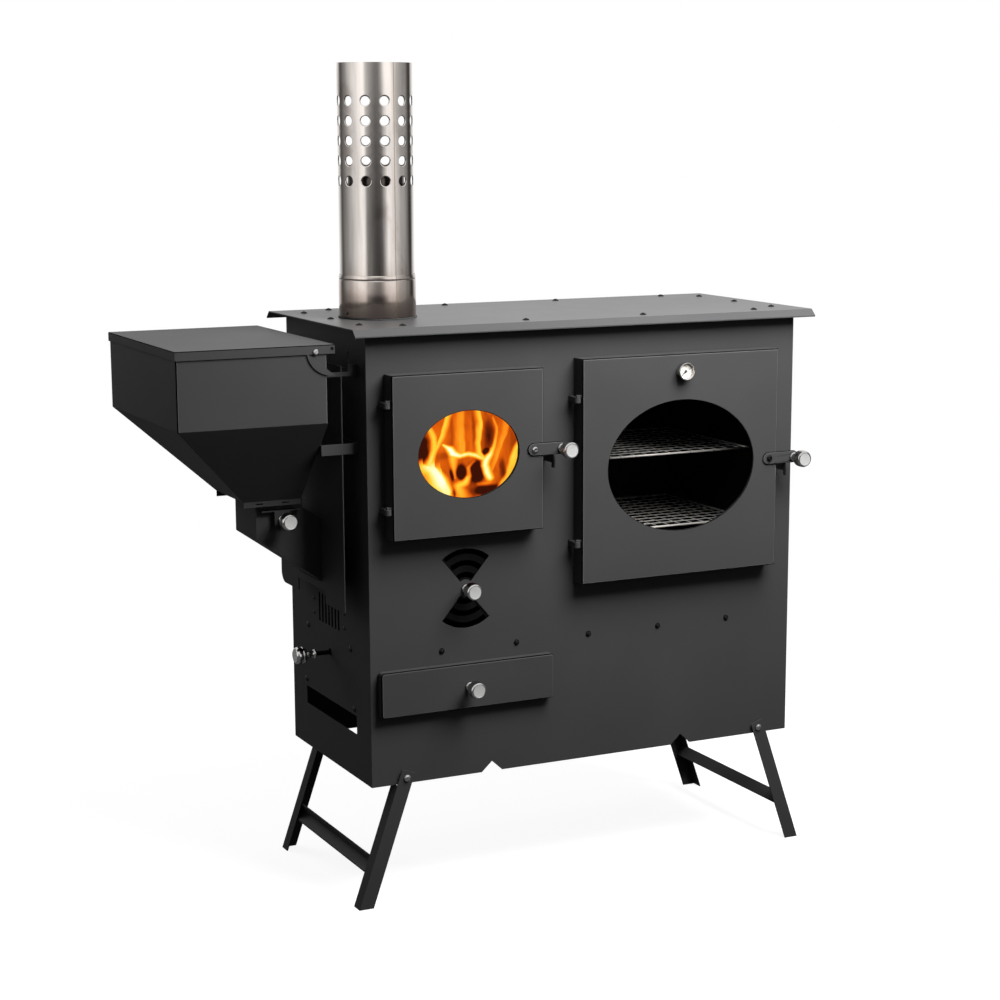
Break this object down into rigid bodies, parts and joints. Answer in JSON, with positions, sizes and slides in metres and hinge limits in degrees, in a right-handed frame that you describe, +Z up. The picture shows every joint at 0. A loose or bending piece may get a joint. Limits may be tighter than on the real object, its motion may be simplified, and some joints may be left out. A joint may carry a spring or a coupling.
{
  "type": "outdoor stove with oven",
  "caption": "Pellet-fired outdoor stove with a hot plate, glazed firebox and oven doors, side hopper with chute, splayed leg frames and a perforated chimney.",
  "frame": {"origin": "centre of the bounding box at floor level, under the feet", "axes": "+X towards the oven and away from the hopper, +Y from the front with the doors to the back, +Z up along the chimney"},
  "size_m": [0.9392, 0.3698, 1.1293],
  "materials": {
    "black_coat": "satin black heat-resistant powder coat",
    "hot_plate": "smooth satin black, a little greyer from heat",
    "inner_steel": "matt dark sheet steel, sooted inside",
    "bright_steel": "turned bright steel",
    "stainless": "bright rolled stainless steel with brown heat tint",
    "rack_steel": "bright plated wire",
    "black_screw": "black oxide steel",
    "window_glass": "clear heat-resistant glass",
    "dial_face": "white printed dial",
    "needle_black": "black painted pointer"
  },
  "bodies": {
    "root": {"body_shell": "black_coat", "back_panel": "black_coat", "top_plate": "hot_plate", "inner_shelf": "inner_steel", "partition": "inner_steel", "firebox_liner": "inner_steel", "burner_pot": "inner_steel", "oven_box": "inner_steel", "oven_rack_upper": "rack_steel", "oven_rack_lower": "rack_steel", "firebox_hinge_upper": "black_coat", "firebox_hinge_lower": "black_coat", "firebox_keeper": "black_coat", "oven_hinge_upper": "black_coat", "oven_hinge_lower": "black_coat", "oven_keeper": "black_coat", "drawer_guide": "inner_steel", "hopper_bin": "black_coat", "lid_hinge_pin": "black_screw", "lid_stop_screw": "bright_steel", "pellet_chute": "black_coat", "heat_shield": "black_coat", "hopper_strap_upper": "black_coat", "hopper_strap_lower": "black_coat", "leg_pivot_front_left": "bright_steel", "leg_pivot_back_left": "bright_steel", "leg_pivot_front_right": "bright_steel", "leg_pivot_back_right": "bright_steel", "chimney_collar": "black_coat"},
    "firebox_door": {"firebox_door": "black_coat", "firebox_glass": "window_glass", "firebox_glass_frame": "inner_steel", "firebox_latch_screw": "bright_steel"},
    "firebox_latch": {"firebox_latch": "black_coat", "firebox_latch_knob": "bright_steel"},
    "oven_door": {"oven_door": "black_coat", "oven_glass": "window_glass", "oven_glass_frame": "inner_steel", "oven_latch_screw": "black_screw", "thermometer_case": "bright_steel", "thermometer_dial": "dial_face", "thermometer_lens": "window_glass"},
    "oven_latch": {"oven_latch": "black_coat", "oven_latch_knob": "bright_steel"},
    "thermometer_needle": {"thermometer_needle": "needle_black"},
    "air_damper": {"air_damper": "inner_steel", "air_damper_knob": "bright_steel"},
    "ash_drawer": {"ash_drawer_front": "black_coat", "ash_tray": "inner_steel", "ash_drawer_knob": "bright_steel"},
    "ash_slide": {"ash_slide": "black_screw", "ash_slide_knob": "bright_steel"},
    "hopper_lid": {"hopper_lid": "black_coat"},
    "hopper_gate": {"hopper_gate": "black_coat", "hopper_gate_knob": "bright_steel"},
    "leg_frame_left": {"leg_frame_left": "black_coat"},
    "leg_frame_right": {"leg_frame_right": "black_coat"},
    "chimney": {"chimney_base_ring": "stainless", "chimney_sleeve": "stainless", "flue_pipe": "stainless"}
  },
  "joints": [
    {"name": "firebox_door_swing", "type": "hinge", "parent": "root", "child": "firebox_door", "pos_m": [-0.19347, -0.1458, 0.6187], "axis": [0, 0, -1], "range_deg": [0, 110]},
    {"name": "firebox_latch_lift", "type": "hinge", "parent": "firebox_door", "child": "firebox_latch", "pos_m": [0.01903, -0.1516, 0.6187], "axis": [0, -1, 0], "range_deg": [0, 50]},
    {"name": "oven_door_swing", "type": "hinge", "parent": "root", "child": "oven_door", "pos_m": [0.08703, -0.1458, 0.5808], "axis": [0, 0, -1], "range_deg": [0, 102]},
    {"name": "oven_latch_lift", "type": "hinge", "parent": "oven_door", "child": "oven_latch", "pos_m": [0.39203, -0.1516, 0.5808], "axis": [0, -1, 0], "range_deg": [0, 50]},
    {"name": "thermometer_needle_turn", "type": "hinge", "parent": "oven_door", "child": "thermometer_needle", "pos_m": [0.24928, -0.1516, 0.713], "axis": [0, 1, 0], "range_deg": [0, 260]},
    {"name": "air_damper_turn", "type": "hinge", "parent": "root", "child": "air_damper", "pos_m": [-0.07207, -0.1249, 0.4311], "axis": [0, 1, 0], "range_deg": [0, 87]},
    {"name": "ash_drawer_pull", "type": "slide", "parent": "root", "child": "ash_drawer", "axis": [0, -1, 0], "range_m": [0, 0.2]},
    {"name": "ash_slide_pull", "type": "slide", "parent": "root", "child": "ash_slide", "axis": [-1, 0, 0], "range_m": [0, 0.076]},
    {"name": "hopper_lid_lift", "type": "hinge", "parent": "root", "child": "hopper_lid", "pos_m": [-0.25927, 0.0211, 0.765], "axis": [0, 1, 0], "range_deg": [0, 75]},
    {"name": "hopper_gate_pull", "type": "slide", "parent": "root", "child": "hopper_gate", "axis": [0, -1, 0], "range_m": [0, 0.075]},
    {"name": "leg_frame_left_fold", "type": "hinge", "parent": "root", "child": "leg_frame_left", "pos_m": [-0.16367, 0.0211, 0.1778], "axis": [0, -1, 0], "range_deg": [0, 109]},
    {"name": "leg_frame_right_fold", "type": "hinge", "parent": "root", "child": "leg_frame_right", "pos_m": [0.39713, 0.0211, 0.1778], "axis": [0, 1, 0], "range_deg": [0, 109]},
    {"name": "chimney_lift", "type": "slide", "parent": "root", "child": "chimney", "axis": [0, 0, 1], "range_m": [0, 0.1]}
  ]
}
